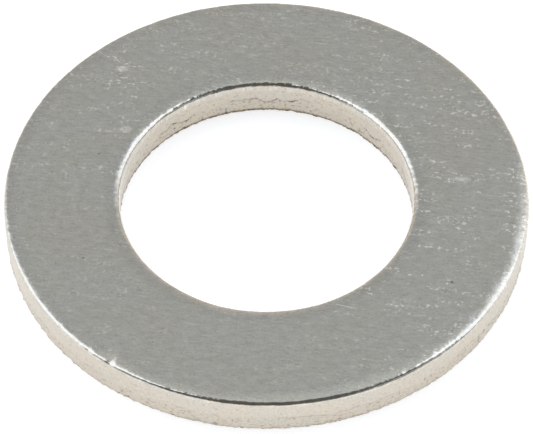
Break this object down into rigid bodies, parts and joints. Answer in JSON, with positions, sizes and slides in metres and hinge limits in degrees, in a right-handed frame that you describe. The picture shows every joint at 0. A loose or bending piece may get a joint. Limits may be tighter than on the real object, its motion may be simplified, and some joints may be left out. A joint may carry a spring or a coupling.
{
  "type": "flat washer",
  "caption": "Plain flat steel washer: a ring with a round clearance bore, rolled-over top edges and sheared walls that break away below a tear line.",
  "frame": {"origin": "centre of the bore in the plane of the bottom bearing face", "axes": "+Z along the bore's axis, from the sharp-edged bottom face to the rolled-over top face; X and Y are free, because the washer is round"},
  "size_m": [0.05, 0.05, 0.004],
  "materials": {
    "bright_steel": "bright plated carbon steel, satin faces with a faint rolling grain, sheared walls that are smooth above the tear line and pitted below it"
  },
  "bodies": {
    "root": {"washer": "bright_steel"}
  },
  "joints": []
}
